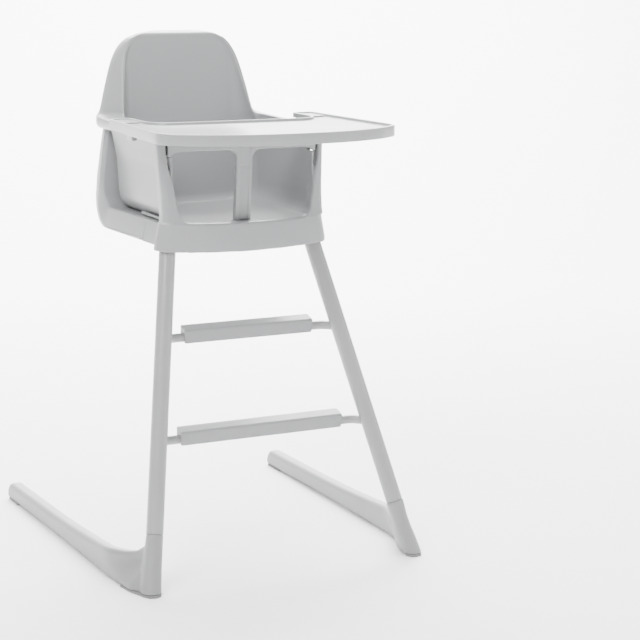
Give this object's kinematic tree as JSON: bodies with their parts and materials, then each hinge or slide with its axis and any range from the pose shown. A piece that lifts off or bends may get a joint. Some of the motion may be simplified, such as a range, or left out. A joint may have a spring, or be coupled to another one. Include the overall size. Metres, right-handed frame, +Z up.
{
  "type": "baby high chair",
  "caption": "Cantilevered baby high chair with a junior seat shell on raked legs, footrest rungs, a lift-off baby insert with hood and arms, a crotch guard and a sliding tray.",
  "frame": {"origin": "on the floor, under the middle of the chair's bounding box", "axes": "+Z up, -Y is the front where the tray is, +X is the right-hand side seen from the front"},
  "size_m": [0.562, 0.6524, 0.8665],
  "materials": {
    "shell_plastic": "light grey moulded plastic, satin",
    "insert_plastic": "light grey moulded plastic, satin",
    "tray_plastic": "light grey moulded plastic, satin",
    "foot_plastic": "light grey moulded plastic, satin",
    "frame_steel": "light grey powder coat",
    "cast_metal": "as cast",
    "bolt_steel": "zinc plated",
    "pad_rubber": "light grey soft glide pad",
    "seal_black": "matt black"
  },
  "bodies": {
    "frame": {"seat_shell": "shell_plastic", "back_cover": "shell_plastic", "leg_socket_left": "cast_metal", "leg_socket_right": "cast_metal", "leg_bolt_left": "bolt_steel", "leg_bolt_right": "bolt_steel", "seat_cross_tube": "frame_steel", "leg_tube_left": "frame_steel", "leg_tube_right": "frame_steel", "upper_rung": "frame_steel", "lower_rung": "frame_steel", "upper_footrest": "shell_plastic", "lower_footrest": "shell_plastic", "foot_left": "foot_plastic", "foot_right": "foot_plastic", "front_pad_left": "pad_rubber", "front_pad_right": "pad_rubber", "rear_pad_left": "pad_rubber", "rear_pad_right": "pad_rubber"},
    "insert": {"seat_insert": "insert_plastic", "front_guard": "insert_plastic", "guard_seal_left": "seal_black", "guard_seal_right": "seal_black"},
    "clip_left": {"insert_clip_left": "insert_plastic"},
    "clip_right": {"insert_clip_right": "insert_plastic"},
    "table": {"tray": "tray_plastic"},
    "latch_left": {"tray_latch_left": "insert_plastic"},
    "latch_right": {"tray_latch_right": "insert_plastic"}
  },
  "joints": [
    {"name": "insert_lift", "type": "slide", "parent": "frame", "child": "insert", "axis": [0, 0, 1], "range_m": [0, 0.18]},
    {"name": "clip_left_press", "type": "slide", "parent": "insert", "child": "clip_left", "axis": [1, 0, 0], "range_m": [0, 0.003], "stiffness_N_per_m": 1500},
    {"name": "clip_right_press", "type": "slide", "parent": "insert", "child": "clip_right", "axis": [-1, 0, 0], "range_m": [0, 0.003], "stiffness_N_per_m": 1500},
    {"name": "tray_slide", "type": "slide", "parent": "insert", "child": "table", "axis": [0, -1, 0], "range_m": [0, 0.07]},
    {"name": "latch_left_squeeze", "type": "slide", "parent": "table", "child": "latch_left", "axis": [-1, 0, 0], "range_m": [0, 0.004], "stiffness_N_per_m": 1500},
    {"name": "latch_right_squeeze", "type": "slide", "parent": "table", "child": "latch_right", "axis": [1, 0, 0], "range_m": [0, 0.004], "stiffness_N_per_m": 1500}
  ]
}
